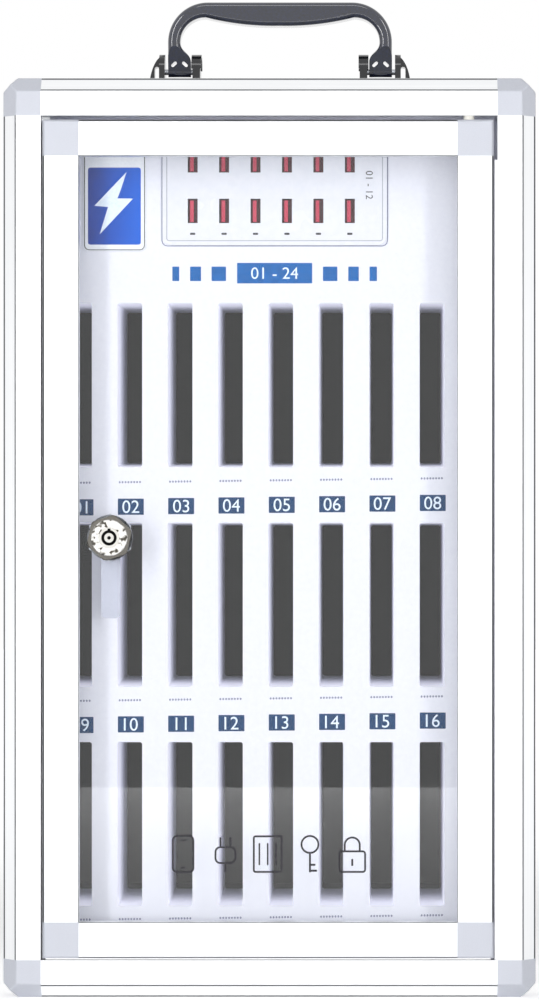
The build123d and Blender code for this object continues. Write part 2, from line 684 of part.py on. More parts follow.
def ear_arch():
    """Arch that braces the outer ear, from its top out to the base."""
    inner, outer, leg = ear_spans()
    foot = BOARD_TOP - HANDLE_Z + BASE_T
    high = EAR_RISE - 0.6
    reach = leg[1] - outer[0]
    curve = EllipticalCenterArc((outer[0], foot), reach, high - foot, arc_size=90)
    sill = Line((outer[0], foot), (leg[1], foot))
    web = make_face([sill, curve, Line((outer[0], high), (outer[0], foot))])
    arch = extrude(Plane.XZ * web, ARCH_T / 2, both=True)
    top = EAR_RISE - EAR_R
    arch -= span(outer[1], leg[0], -ARCH_T, ARCH_T, foot, top)
    middle = (outer[1] + leg[0]) / 2
    return arch - rod((middle, -ARCH_T, top), (0, 1, 0), ARCH_GAP, 2 * ARCH_T)


def handle_bracket(sign):
    """Riveted bracket: base, rimmed inner ear, outer ear and its arch."""
    inner, outer, leg = ear_spans()
    base_z = BOARD_TOP - HANDLE_Z
    bracket = span(inner[0], leg[1], -BASE_DEPTH / 2, BASE_DEPTH / 2, base_z, base_z + BASE_T)
    bracket = fillet(bracket.edges().filter_by(Axis.Z), 3.0)
    rim = ear(inner[0] - EAR_RIM_PROUD, inner[1] + EAR_RIM_PROUD, EAR_R)
    rim -= ear(inner[0] - EAR_RIM_PROUD, inner[1] + EAR_RIM_PROUD, EAR_R - EAR_RIM)
    rim &= span(0, HANDLE_W, -EAR_R, EAR_R, EAR_RISE - EAR_R, EAR_RISE)
    bracket += [ear(*inner, EAR_R), rim, ear(*outer, EAR_R), ear_arch()]
    length = outer[1] - inner[0] + 2
    bracket -= rod((inner[0] - 1, 0, 0), (1, 0, 0), PIN_D + 2 * RUN_FIT, length)
    if sign < 0:
        bracket = mirror(bracket, Plane.YZ)
    bracket = Pos(HANDLE_OFFSET, 0, HANDLE_Z) * bracket
    return bracket - rivet_shanks(RIVET_D + 2 * RUN_FIT)


def handle_pin(sign):
    """Pin through both ears and the eye between them."""
    inner, outer, leg = ear_spans()
    length = outer[1] - inner[0]
    x0 = inner[0] if sign > 0 else -outer[1]
    return rod((HANDLE_OFFSET + x0, 0, HANDLE_Z), (1, 0, 0), PIN_D, length)


def rivet_places():
    """Rivet axes: two under each eye."""
    middle = (HANDLE_W - EYE_W) / 2
    return [(HANDLE_OFFSET + s * middle, y) for s in (-1, 1) for y in (-RIVET_PITCH / 2, RIVET_PITCH / 2)]


def rivet_shanks(diameter):
    """Bars where the rivets pass through the brackets and the top board."""
    low = CASE_H - BOARD_IN
    high = BOARD_TOP + BASE_T
    return [rod((x, y, low), (0, 0, 1), diameter, high - low) for x, y in rivet_places()]


def bracket_rivets():
    """Domed rivets, clinched under the top board."""
    high = BOARD_TOP + BASE_T
    low = CASE_H - BOARD_IN
    rivets = []
    for shank, (x, y) in zip(rivet_shanks(RIVET_D), rivet_places()):
        head = rod((x, y, high), (0, 0, 1), RIVET_HEAD_D, RIVET_HEAD_H)
        head = fillet(head.faces().sort_by(Axis.Z)[-1].edges(), RIVET_HEAD_H * 0.8)
        clinch = rod((x, y, low - RIVET_CLINCH_H), (0, 0, 1), RIVET_D * 1.5, RIVET_CLINCH_H)
        rivets.append(shank + head + clinch)
    return rivets


# ---------------------------------------------------------------- slotted panel and crate

def tapered_slot(grow):
    """A slot's draught shape about the origin, grown by a wall all round."""
    mouth = Plane(origin=(0, front(PANEL_SETBACK), 0), x_dir=(1, 0, 0), z_dir=(0, 1, 0))
    end = mouth.offset(COLLAR_DEPTH)
    width, height, radius = SLOT_W + 2 * grow, SLOT_H + 2 * grow, SLOT_R + grow
    wide = mouth * RectangleRounded(width, height, radius)
    narrow = end * RectangleRounded(width - 2 * COLLAR_DRAFT_X, height - 2 * COLLAR_DRAFT_Z, radius)
    return loft([wide, narrow])


def slot_panel():
    """White moulded panel with a collared slot for each phone and an opening for the charger."""
    y0, y1 = front(PANEL_SETBACK), front(PANEL_REAR)
    edge = BOARD_IN + STATIC_FIT
    notch = RAIL_FACE + STATIC_FIT
    panel = span(edge - HALF_W, HALF_W - edge, y0, y1, notch, CASE_H - notch)
    panel += span(notch - HALF_W, HALF_W - notch, y0, y1, edge, CASE_H - edge)
    rim0 = front(RAIL_SIDE)
    for x0 in (edge - HALF_W, HALF_W - edge - PANEL_RIM):
        panel += span(x0, x0 + PANEL_RIM, rim0, y1, notch, CASE_H - notch)
    for z0 in (edge, CASE_H - edge - PANEL_RIM):
        panel += span(notch - HALF_W, HALF_W - notch, rim0, y1, z0, z0 + PANEL_RIM)
    half_w = HUB_BODY_W / 2 + STATIC_FIT
    half_h = HUB_BODY_H / 2 + STATIC_FIT
    panel -= span(HUB_OFFSET - half_w, HUB_OFFSET + half_w, y0, y1, HUB_Z - half_h, HUB_Z + half_h)
    collar = tapered_slot(COLLAR_WALL)
    cut = tapered_slot(0)
    places = [Pos(column_x(i), 0, row_z(j) + SLOT_H / 2) for i in range(COLUMNS) for j in range(ROWS)]
    panel += [place * collar for place in places]
    return panel - [place * cut for place in places]


def crate_shelf_z(j):
    """Top of the crate shelf under slot row j."""
    return row_z(j) - SHELF_DROP


def partition_x(i):
    """Middle of partition i, half a pitch left of column i."""
    return column_x(i) - COLUMN_PITCH / 2


def crate_y():
    """The crate's front, middle and rear Y."""
    y0, y1 = front(PANEL_REAR), rear(RAIL_TUBE + BACK_T)
    return y0, (y0 + y1) / 2, y1


def crate_shelf(j):
    """A shelf across the case, halved from the front over the partitions."""
    y0, ym, y1 = crate_y()
    half = HALF_W - FLANGE_IN - STATIC_FIT
    z1 = crate_shelf_z(j)
    shelf = span(-half, half, y0, y1, z1 - CRATE_T, z1)
    w = CRATE_T / 2 + STATIC_FIT / 2
    cuts = [span(partition_x(i) - w, partition_x(i) + w, y0, ym, z1 - CRATE_T, z1)
            for i in range(COLUMNS + 1)]
    return shelf - cuts


def partitions():
    """Upright partitions between the columns, halved from the rear over the shelves."""
    y0, ym, y1 = crate_y()
    top = HUB_FLOOR - CRATE_T
    flange_y = rear(RAIL_SIDE + STATIC_FIT)
    flange_z = FLANGE_IN + STATIC_FIT
    gap = STATIC_FIT / 2
    plates = []
    for i in range(COLUMNS + 1):
        x0, x1 = partition_x(i) - CRATE_T / 2, partition_x(i) + CRATE_T / 2
        plate = span(x0, x1, y0, y1, BOARD_IN, top)
        plate -= span(x0, x1, flange_y, y1, BOARD_IN, flange_z)
        for j in range(ROWS):
            z1 = crate_shelf_z(j)
            plate -= span(x0, x1, ym, y1, z1 - CRATE_T - gap, z1 + gap)
        plates.append(plate)
    return plates


def hub_shelf():
    """Plain shelf on top of the partitions, under the charger."""
    y0, ym, y1 = crate_y()
    half = HALF_W - FLANGE_IN - STATIC_FIT
    return span(-half, half, y0, y1, HUB_FLOOR - CRATE_T, HUB_FLOOR)


# ---------------------------------------------------------------- charger

def port_places():
    """X and Z of each port's middle."""
    x0 = HUB_OFFSET + PORT_SHIFT - (PORT_COLUMNS - 1) * PORT_PITCH_X / 2
    z0 = HUB_Z - (PORT_ROWS - 1) * PORT_PITCH_Z / 2
    return [(x0 + i * PORT_PITCH_X, z0 + j * PORT_PITCH_Z) for j in range(PORT_ROWS)
            for i in range(PORT_COLUMNS)]


def port_blocks(width, height, v0, v1, shift=0.0):
    """A block at each port, between two depths."""
    w, h = width / 2, height / 2
    return [span(x + shift - w, x + shift + w, front(v0), front(v1), z - h, z + h)
            for x, z in port_places()]


def hub_faceplate():
    """Charger's front plate with an opening for each port."""
    v0 = PANEL_SETBACK - HUB_FACE_T
    x0, x1 = HUB_OFFSET - HUB_FACE_W / 2, HUB_OFFSET + HUB_FACE_W / 2
    plate = rounded_plate(x0, x1, front(v0), front(PANEL_SETBACK), HUB_BOTTOM, HUB_BOTTOM + HUB_FACE_H,
                          HUB_FACE_R)
    return plate - port_blocks(PORT_W, PORT_H, v0, PANEL_SETBACK)


def shell_front():
    """Depth of the port shells' front edges, just behind the charger's face."""
    return PANEL_SETBACK + STATIC_FIT


def port_shells():
    """Plated shells of the ports."""
    v0 = shell_front()
    v1 = v0 + PORT_DEPTH
    outer = port_blocks(PORT_W + 2 * SHELL_T, PORT_H + 2 * SHELL_T, v0, v1)
    inner = port_blocks(PORT_W, PORT_H, v0, v1)
    return [a - b for a, b in zip(outer, inner)]


def port_tongues():
    """Red contact tongues inside the ports, each on a block that closes its shell's rear."""
    v0 = shell_front() + TONGUE_SETBACK
    v1 = shell_front() + PORT_DEPTH
    blades = port_blocks(TONGUE_W, TONGUE_H, v0, v1, TONGUE_SHIFT)
    bases = port_blocks(PORT_W - 0.1, PORT_H - 0.1, v1 - TONGUE_BASE, v1)
    return [blade + base for blade, base in zip(blades, bases)]


def hub_housing():
    """Charger's deep housing, open in front, on the shelf behind the panel."""
    y0, y1 = front(PANEL_SETBACK), rear(RAIL_TUBE + BACK_T)
    w, h, t = HUB_BODY_W / 2, HUB_BODY_H / 2, HUB_WALL
    box = span(HUB_OFFSET - w, HUB_OFFSET + w, y0, y1, HUB_Z - h, HUB_Z + h)
    box -= span(HUB_OFFSET - w + t, HUB_OFFSET + w - t, y0, y1 - t, HUB_Z - h + t, HUB_Z + h - t)
    half_w, half_h = INLET_W / 2 + STATIC_FIT, INLET_H / 2 + STATIC_FIT
    box -= span(HUB_OFFSET - half_w, HUB_OFFSET + half_w, y1 - t, y1, HUB_Z - half_h, HUB_Z + half_h)
    return box - inlet_shanks(INLET_SCREW_D + 2 * RUN_FIT)


def hub_circuit():
    """Port board behind the shells, and the power board with its transformer by the inlet."""
    w = HUB_BODY_W / 2 - HUB_WALL - STATIC_FIT
    h = HUB_BODY_H / 2 - HUB_WALL - STATIC_FIT
    v0 = shell_front() + PORT_DEPTH
    ports = span(HUB_OFFSET - w, HUB_OFFSET + w, front(v0), front(v0 + BOARD_CU_T), HUB_Z - h, HUB_Z + h)
    y1 = rear(RAIL_TUBE + INLET_DEPTH)
    top = HUB_Z - INLET_H / 4
    power = span(HUB_OFFSET - w, HUB_OFFSET + w, y1 - POWER_BOARD_L, y1, top - BOARD_CU_T, top)
    tx, ty, tz = TRANSFORMER
    core_y = y1 - POWER_BOARD_L / 2
    power += span(HUB_OFFSET - tx / 2, HUB_OFFSET + tx / 2, core_y, core_y + ty, top, top + tz)
    return [ports, power]


def sign_plate():
    """Small sign plate on the panel, left of the charger."""
    x1 = HUB_OFFSET - HUB_FACE_W / 2 - SIGN_GAP
    z0, z1 = HUB_BOTTOM - SIGN_DROP, HUB_BOTTOM + HUB_FACE_H + SIGN_RISE
    y0 = front(PANEL_SETBACK - SIGN_T)
    return rounded_plate(x1 - SIGN_W, x1, y0, front(PANEL_SETBACK), z0, z1, SIGN_R)


# ---------------------------------------------------------------- mains inlet

def inlet_places():
    """X of the two inlet screws."""
    return [HUB_OFFSET - INLET_SCREW_PITCH / 2, HUB_OFFSET + INLET_SCREW_PITCH / 2]


def inlet_shanks(diameter):
    """Bars where the inlet's screws pass through flange, back panel and charger housing."""
    y0 = rear(RAIL_TUBE + BACK_T + HUB_WALL)
    length = BACK_T + HUB_WALL + INLET_FLANGE_T
    return [rod((x, y0, HUB_Z), (0, 1, 0), diameter, length) for x in inlet_places()]


def inlet_screws():
    """Two screws with slotted heads."""
    y = rear(RAIL_TUBE - INLET_FLANGE_T)
    screws = []
    for shank, x in zip(inlet_shanks(INLET_SCREW_D), inlet_places()):
        head = rod((x, y, HUB_Z), (0, 1, 0), INLET_HEAD_D, INLET_HEAD_H)
        head -= span(x - INLET_HEAD_D, x + INLET_HEAD_D, y + INLET_HEAD_H / 2, y + INLET_HEAD_H,
                     HUB_Z - 0.4, HUB_Z + 0.4)
        screws.append(shank + head)
    return screws


def power_inlet():
    """Three blade mains inlet: flange on the back panel, body in the charger's rear."""
    w, h = INLET_W / 2, INLET_H / 2
    face = rear(RAIL_TUBE - INLET_FLANGE_T)
    seat = rear(RAIL_TUBE)
    body = span(-w, w, rear(RAIL_TUBE + INLET_DEPTH), seat, -h, h)
    fw, fh = INLET_FLANGE_W / 2, INLET_FLANGE_H / 2
    body += rounded_plate(-fw, fw, seat, face, -fh, fh, 4.0)
    cw, ch, cut = INLET_CAVITY_W / 2, INLET_CAVITY_H / 2, 4.5
    floor = face - INLET_CAVITY_D
    cavity = [(-cw, floor, -ch), (cw, floor, -ch), (cw, floor, ch - cut), (cw - cut, floor, ch),
              (cut - cw, floor, ch), (-cw, floor, ch - cut)]
    body -= prism(cavity, (0, INLET_CAVITY_D, 0))
    bx, bz, by = BLADE
    for i in (-1, 0, 1):
        x = i * BLADE_PITCH
        z = BLADE_RISE if i == 0 else -BLADE_RISE
        body += span(x - bx / 2, x + bx / 2, floor - 1, floor + by, z - bz / 2, z + bz / 2)
    body = Pos(HUB_OFFSET, 0, HUB_Z) * body
    return body - inlet_shanks(INLET_SCREW_D + 2 * RUN_FIT)


# ---------------------------------------------------------------- write every piece

def build():
    """Write each piece to parts/."""
    os.makedirs("parts", exist_ok=True)
    for end in ("front", "rear"):
        for side in ("left", "right", "top", "bottom"):
            save(f"{end}_rail_{side}", frame_rail(side, end))
        for level in ("top", "bottom"):
            for side in ("left", "right"):
                save(f"corner_{end}_{level}_{side}", placed_corner(side, level, end))
    for level in ("top", "bottom"):
        for side in ("left", "right"):
            save(f"edge_rail_{level}_{side}", edge_rail(side, level))
            save(f"door_corner_{level}_{side}", door_corner(side, level))
    for face in ("left", "right", "top", "bottom"):
        save(f"{face}_board", case_board(face))
        save(f"door_rail_{face}", door_rail(face))
    save("back_panel", back_panel())
    save("door_pane", door_pane())
    save("pivot_pins", [pivot_pin("top"), pivot_pin("bottom")])
    save("lock_body", lock_body())
    save("lock_plug", lock_plug())
    save("lock_washer", lock_washer())
    save("lock_nut", lock_nut())
    save("lock_cam", lock_cam())
    save("cam_screw", cam_screw())
    save("carry_handle", carry_handle())
    save("handle_bracket_left", handle_bracket(-1))
    save("handle_bracket_right", handle_bracket(1))
    save("handle_pins", [handle_pin(-1), handle_pin(1)])
    save("bracket_rivets", bracket_rivets())
    save("slot_panel", slot_panel())
    for j in range(ROWS):
        save(f"crate_shelf_{j + 1}", crate_shelf(j))
    save("hub_shelf", hub_shelf())
    save("partitions", partitions())
    save("sign_plate", sign_plate())
    save("hub_faceplate", hub_faceplate())
    save("port_shells", port_shells())
    save("port_tongues", port_tongues())
    save("hub_housing", hub_housing())
    save("hub_circuit", hub_circuit())
    save("power_inlet", power_inlet())
    save("inlet_screws", inlet_screws())


build()
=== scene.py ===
"""Looks of the phone locker box.

A satin aluminium frame with grey corner blocks carries a glazed door. Behind the glass are a
white panel with numbered phone slots, a sign card and the face of a USB charger. A gloss black
handle folds on the top board.

Metres, in the frame of the CAD model: X right, Y back, Z up, the origin under the case's middle.
Prints and other thin pieces are outlines worked out with numpy as whole arrays.
"""

import json
import math

import bpy
import numpy as np
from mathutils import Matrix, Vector


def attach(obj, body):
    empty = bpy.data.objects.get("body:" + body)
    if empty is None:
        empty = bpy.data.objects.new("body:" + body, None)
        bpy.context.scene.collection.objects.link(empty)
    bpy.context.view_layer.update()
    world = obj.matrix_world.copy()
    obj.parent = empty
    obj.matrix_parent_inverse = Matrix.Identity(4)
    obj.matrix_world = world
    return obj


MM = 0.001
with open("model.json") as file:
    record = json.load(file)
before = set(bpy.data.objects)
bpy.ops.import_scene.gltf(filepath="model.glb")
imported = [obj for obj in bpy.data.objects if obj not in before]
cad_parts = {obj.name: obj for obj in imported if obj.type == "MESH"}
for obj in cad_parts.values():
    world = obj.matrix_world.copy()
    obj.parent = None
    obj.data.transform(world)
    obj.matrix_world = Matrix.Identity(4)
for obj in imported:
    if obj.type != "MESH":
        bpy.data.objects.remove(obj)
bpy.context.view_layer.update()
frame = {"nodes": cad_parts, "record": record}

# ---------------------------------------------------------------- places, in millimetres

CASE_FRONT = -90.0
PANEL_FRONT = -60.0
HUB_FRONT = -62.0
SIGN_FRONT = -61.0
PANE_FRONT = -87.6
INK = 0.06             # thickness of a printed film, drawn thick enough to stay clear

FIRST_COLUMN, COLUMN_PITCH = -98.0, 25.8
COLUMNS = FIRST_COLUMN + COLUMN_PITCH * np.arange(8)
TAG_W, TAG_H = 13.3, 8.3
TAG_SHIFT = 0.5        # the stickers' mean shift from their columns
TAG_TILT = 0.0125      # and their slope: each row rises a little to the right
TAG_Z = np.array([249.4, 137.8, 24.9])
TAG_NUMERAL = 6.5      # height of the numbers on the stickers
LINE_Z = np.array([262.0, 150.2, 38.0])
LINE_HALF = 5.2        # half the length of a write-on line

FIRST_PORT, PORT_PITCH = -39.9, 16.1
PORTS_X = FIRST_PORT + PORT_PITCH * np.arange(6)
PORT_NUMBERS_AT = (50.6, 413.3)
PORT_NUMERAL = 3.6
LED_Z = np.array([437.3, 388.3])
HUB_X = (-55.4, 59.6)
HUB_Z = (382.5, 443.5)
HUB_LINE = (2.45, 2.05)      # inner and outer edge of the grey line, in from the face plate's edge
HUB_SHADOW_LINE = (0.1, 0.55)       # inner and outer edge of the painted shadow line, out from the face plate's edge
SIGN_X = (-96.0, -64.0)
SIGN_Z = (379.5, 445.9)
SIGN_R = 3.0
SIGN_LINE = (0.85, 0.4)      # inner and outer edge of the dark line, in from the card's edge
SIGN_FIELD_X = (-93.6, -66.5)
SIGN_FIELD_Z = (382.8, 422.3)
CHARGE_BAR_X = (-17.2, 21.3)
CHARGE_BAR_Z = (363.0, 373.5)
BAR_NUMERAL = 6.0
BLOCKS_X = [(-50.4, -46.9), (-41.3, -35.7), (-30.3, -22.9), (26.8, 34.2), (39.8, 45.2), (50.7, 54.5)]
BLOCKS_Z = (364.2, 371.6)

LIP_FRONT, LIP_DEPTH = -89.9, 0.8
LIP_RIGHT_X, LIP_RIGHT_Z = (114.0, 115.6), (19.6, 424.0)
LIP_BOTTOM_X, LIP_BOTTOM_Z = (-113.0, 112.0), (19.85, 20.6)

ICON_MIDDLE, ICON_PITCH = -0.8, 21.4
ICON_Z = 72.9
ICON_LINE = 0.95       # width of the pictograms' lines

CASE_HALF = (135.0, 90.0, 233.0)
CASE_MIDDLE_Z = CASE_HALF[2]
GROOVE_MIDDLE, GROOVE_HALF = 0.55, 0.4     # of the painted shade in each fine groove, in from the case's sides

LOCK_X, LOCK_Z = -80.8, 233.0
LOCK_FACE_R = (9.3, 8.9)     # the lock's round face ends between these radii
WAVE_WIDTH, WAVE_DEPTH = 2.6, 0.25

GLOW_START, GLOW_STOP = 1.0, 45.0          # of the painted light on the pockets' walls, behind the panel's front
GLOW_LEVEL = 0.34


# ---------------------------------------------------------------- small tools

def linear(code):
    """Linear colour of an sRGB hex code."""
    s = np.array([int(code[i:i + 2], 16) for i in (1, 3, 5)]) / 255
    c = np.where(s <= 0.04045, s / 12.92, ((s + 0.055) / 1.055) ** 2.4)
    return (*c.tolist(), 1.0)


def add(tree, kind, sockets=None, **settings):
    """Adds one node: settings are its properties, sockets are its inputs' values or links."""
    n = tree.nodes.new(kind)
    for key, value in settings.items():
        setattr(n, key, value)
    for key, value in (sockets or {}).items():
        if isinstance(value, bpy.types.NodeSocket):
            tree.links.new(value, n.inputs[key])
        else:
            n.inputs[key].default_value = value
    return n


def new_surface(name, **values):
    """A material with one Principled shader, its tree, that shader and its Object coordinates."""
    material = bpy.data.materials.new(name)
    material.use_nodes = True
    tree = material.node_tree
    tree.nodes.clear()
    shader = add(tree, "ShaderNodeBsdfPrincipled",
                 {key.replace("_", " "): value for key, value in values.items()})
    add(tree, "ShaderNodeOutputMaterial", {"Surface": shader.outputs[0]})
    return material, tree, shader, add(tree, "ShaderNodeTexCoord").outputs["Object"]


def finish(name, pale, deep, grain, cloud, rough, relief, along=None, run=150.0, fade=None,
           groove_shade=None, **values):
    """A surface with a fine grain and soft clouds, both in millimetres.

    The grain mixes the two tones and makes the relief, and the clouds move the roughness between
    its two values. Where `along` names an axis, the grain is drawn out `run` times along it.
    `fade` is an axis, two places on it and the tone that comes in from the first to the second.
    `groove_shade` is the tone of the painted shade in each fine groove beside a chamfer: there the
    nearest side of the case's box is GROOVE_MIDDLE away, give or take GROOVE_HALF.
    """
    material, tree, shader, place = new_surface(name, **values)
    stretch = [1 / (grain * MM)] * 3
    if along is not None:
        stretch[along] /= run
    grid = add(tree, "ShaderNodeMapping", {"Vector": place, "Scale": stretch})
    fine = add(tree, "ShaderNodeTexNoise",
               {"Vector": grid.outputs[0], "Scale": 1.0, "Detail": 3.0, "Roughness": 0.55})
    wide = add(tree, "ShaderNodeTexNoise", {"Vector": place, "Scale": 1 / (cloud * MM), "Detail": 2.0})
    level = add(tree, "ShaderNodeMapRange",
                {"Value": fine.outputs[0], "From Min": 0.3, "From Max": 0.7})
    tone = add(tree, "ShaderNodeMix", {0: level.outputs[0], 6: linear(deep), 7: linear(pale)},
               data_type="RGBA")
    gloss = add(tree, "ShaderNodeMapRange", {"Value": wide.outputs[0], "From Min": 0.35,
                                             "From Max": 0.65, "To Min": rough[0], "To Max": rough[1]})
    bump = add(tree, "ShaderNodeBump",
               {"Height": fine.outputs[0], "Strength": 0.6, "Distance": relief * MM})
    if fade is not None:
        axis, start, stop, code = fade
        way = add(tree, "ShaderNodeSeparateXYZ", {0: place}).outputs[axis]
        share = add(tree, "ShaderNodeMapRange",
                    {"Value": way, "From Min": start * MM, "From Max": stop * MM})
        tone = add(tree, "ShaderNodeMix", {0: share.outputs[0], 6: tone.outputs[2], 7: linear(code)},
                   data_type="RGBA")
    # painted shade: each fine groove beside a chamfer gets a darker tone, where shade falls in it
    if groove_shade is not None:
        middle = add(tree, "ShaderNodeVectorMath", {0: place, 1: (0, 0, CASE_MIDDLE_Z * MM)},
                     operation="SUBTRACT")
        far = add(tree, "ShaderNodeVectorMath", {0: middle.outputs[0]}, operation="ABSOLUTE")
        left = add(tree, "ShaderNodeVectorMath", {0: [h * MM for h in CASE_HALF], 1: far.outputs[0]},
                   operation="SUBTRACT")
        sides = add(tree, "ShaderNodeSeparateXYZ", {0: left.outputs[0]})
        near = add(tree, "ShaderNodeMath", {0: sides.outputs[0], 1: sides.outputs[1]},
                   operation="MINIMUM")
        near = add(tree, "ShaderNodeMath", {0: near.outputs[0], 1: sides.outputs[2]},
                   operation="MINIMUM")
        line = add(tree, "ShaderNodeMath", {0: near.outputs[0], 1: GROOVE_MIDDLE * MM,
                                            2: GROOVE_HALF * MM}, operation="COMPARE")
        tone = add(tree, "ShaderNodeMix", {0: line.outputs[0], 6: tone.outputs[2], 7: linear(groove_shade)},
                   data_type="RGBA")
    tree.links.new(tone.outputs[2], shader.inputs["Base Color"])
    tree.links.new(gloss.outputs[0], shader.inputs["Roughness"])
    tree.links.new(bump.outputs[0], shader.inputs["Normal"])
    return material


def piece(name, points, faces, material, body):
    """A mesh object at the origin from an array of points in millimetres, riding on a body."""
    mesh = bpy.data.meshes.new(name)
    mesh.from_pydata(np.asarray(points, float) * MM, [], faces)
    mesh.materials.append(material)
    mesh.update()
    thing = bpy.data.objects.new(name, mesh)
    bpy.context.scene.collection.objects.link(thing)
    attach(thing, body)
    return thing


def plates(name, outlines, y, depth, material, body):
    """Closed flat plates: outline i's (x, z) points stand at y and again at y + depth.

    Outlines run counter-clockwise seen from the front; neighbouring points join into the sides.
    """
    outlines = np.asarray(outlines, float)
    count, size, _ = outlines.shape
    grid = np.empty((2, count, size, 3))
    grid[..., 0] = outlines[..., 0]
    grid[..., 1] = np.array([y, y + depth])[:, None, None]
    grid[..., 2] = outlines[..., 1]
    front, back = np.arange(2 * count * size).reshape(2, count, size)
    sides = np.stack([front, back, np.roll(back, -1, 1), np.roll(front, -1, 1)], -1).reshape(-1, 4)
    faces = front.tolist() + back[:, ::-1].tolist() + sides.tolist()
    return piece(name, grid.reshape(-1, 3), faces, material, body)


def bands(name, inner, outer, y, depth, material, body):
    """Closed flat rings: each has an inner and an outer outline of as many (x, z) points.

    The four edges of the ring's rectangular section are the outlines at y and at y + depth, and
    each is joined to the next round the section.
    """
    inner, outer = np.asarray(inner, float), np.asarray(outer, float)
    count, size, _ = inner.shape
    edges = np.stack([outer, inner, inner, outer])
    grid = np.empty((4, count, size, 3))
    grid[..., 0] = edges[..., 0]
    grid[..., 1] = np.array([y, y, y + depth, y + depth])[:, None, None]
    grid[..., 2] = edges[..., 1]
    index = np.arange(4 * count * size).reshape(4, count, size)
    across = np.roll(index, -1, 0)
    faces = np.stack([index, np.roll(index, -1, 2), np.roll(across, -1, 2), across], -1)
    return piece(name, grid.reshape(-1, 3), faces.reshape(-1, 4).tolist(), material, body)


def rounded(w, h, r, steps=6):
    """Outline of a w by h rectangle about the origin, corners turned to radius r.

    Quarter k is its corner's centre plus r times (cos, sin) of angles from 90(k - 1) to 90k degrees.
    """
    turn = np.linspace(-np.pi / 2, 0, steps) + np.pi / 2 * np.arange(4)[:, None]
    x = np.array([1, 1, -1, -1])[:, None] * (w / 2 - r) + r * np.cos(turn)
    z = np.array([-1, 1, 1, -1])[:, None] * (h / 2 - r) + r * np.sin(turn)
    return np.stack([x.ravel(), z.ravel()], 1)


def box_outline(x_span, z_span, r=0.2, steps=4):
    """Rounded rectangle that fills the two spans."""
    middle = np.array([sum(x_span) / 2, sum(z_span) / 2])
    return rounded(x_span[1] - x_span[0], z_span[1] - z_span[0], r, steps) + middle


def grown(x_span, z_span, by):
    """The two spans, each end moved out by `by`."""
    return (x_span[0] - by, x_span[1] + by), (z_span[0] - by, z_span[1] + by)


def places_of(xs, zs):
    """Every pair of a column's x and a row's z, row by row."""
    return np.stack(np.meshgrid(xs, zs), -1).reshape(-1, 2)


def stroke(path, width):
    """The two sides of a line: its (x, z) points moved half the width along the normal there."""
    path = np.asarray(path, float)
    run = np.gradient(path, axis=0)
    run /= np.linalg.norm(run, axis=1, keepdims=True)
    normal = np.stack([-run[:, 1], run[:, 0]], 1) * width / 2
    return np.concatenate([path - normal, (path + normal)[::-1]])


def numerals(name, labels, places, height, y, turn, material, body):
    """Plain numerals of the built-in face, one label at each (x, z).

    A label's mesh is centred, scaled so that it stands `height` tall, turned by `turn` in the
    plane of the print and moved to its place; depths are the film's.
    """
    points, faces, start = [], [], 0
    for label, place in zip(labels, places):
        curve = bpy.data.curves.new(label, "FONT")
        curve.body, curve.extrude = label, 0.5
        words = bpy.data.objects.new(label, curve)
        mesh = bpy.data.meshes.new_from_object(words)
        flat = np.empty(len(mesh.vertices) * 3)
        mesh.vertices.foreach_get("co", flat)
        flat = flat.reshape(-1, 3)
        corner = np.empty(len(mesh.loops), int)
        mesh.loops.foreach_get("vertex_index", corner)
        total = np.empty(len(mesh.polygons), int)
        mesh.polygons.foreach_get("loop_total", total)
        low, high = flat.min(0), flat.max(0)
        flat = (flat - (low + high) / 2) * height / (high[1] - low[1])
        side = flat[:, 0] * math.cos(turn) - flat[:, 1] * math.sin(turn)
        rise = flat[:, 0] * math.sin(turn) + flat[:, 1] * math.cos(turn)
        depth = np.where(flat[:, 2] > 0, y, y + INK)
        points.append(np.stack([place[0] + side, depth, place[1] + rise], 1))
        faces += [part.tolist() for part in np.split(corner + start, np.cumsum(total)[:-1])]
        start += len(flat)
        bpy.data.objects.remove(words)
        bpy.data.meshes.remove(mesh)
        bpy.data.curves.remove(curve)
    return piece(name, np.concatenate(points), faces, material, body)


def dress(node, material):
    """Gives a CAD node its finish."""
    mesh = frame["nodes"][node].data
    mesh.materials.clear()
    mesh.materials.append(material)


# ---------------------------------------------------------------- finishes of the frame

# Anodised 6063 extrusion, etched matt before anodising: bright, soft gloss, with faint die lines
# 0.5 mm apart that run the whole length of a rail, and painted shade in each fine groove by a chamfer.
rail_finish = [finish(f"satin_anodised_aluminium_{axis}", "#F6F7F8", "#F0F1F3", 0.5, 45, (0.38, 0.43),
                      0.006, along=k, run=400, groove_shade="#8B8D90", Metallic=1.0)
               for k, axis in enumerate("xyz")]

# Injection moulded grey ABS with a spark eroded texture, about 0.5 mm from peak to peak.
corner_finish = finish("moulded_grey_abs", "#CACDD6", "#C3C6D0", 0.5, 14, (0.36, 0.46), 0.02)

# Thin hard board with a laminated silver film that is embossed like linen, 1.4 mm apart.
board_finish = finish("silver_laminated_board", "#D4D6DA", "#C2C5CA", 1.4, 60, (0.38, 0.5), 0.05,
                      Metallic=0.35)

# The back board has the same silver film outside; inside, where the phones lie, it is painted nearly
# black as shade.
back_finish = finish("silver_board_with_painted_shade_inside", "#D4D6DA", "#C2C5CA", 1.4, 60, (0.45, 0.55),
                     0.05, fade=(1, 77.6, 77.4, "#0B0A0D"))

# ---------------------------------------------------------------- finishes behind the glass

# White ABS sheet, vacuum formed: satin, with an orange peel about 2 mm wide.
panel_finish = finish("vacuum_formed_white_abs", "#E9EAF3", "#E5E6F0", 2.2, 80, (0.3, 0.4), 0.02)

# Black ABS sheet with a fine leather grain, 0.8 mm.
crate_finish = finish("grained_black_abs_sheet", "#191521", "#0F0C16", 0.8, 40, (0.5, 0.62), 0.04,
                      Specular_IOR_Level=0.3)

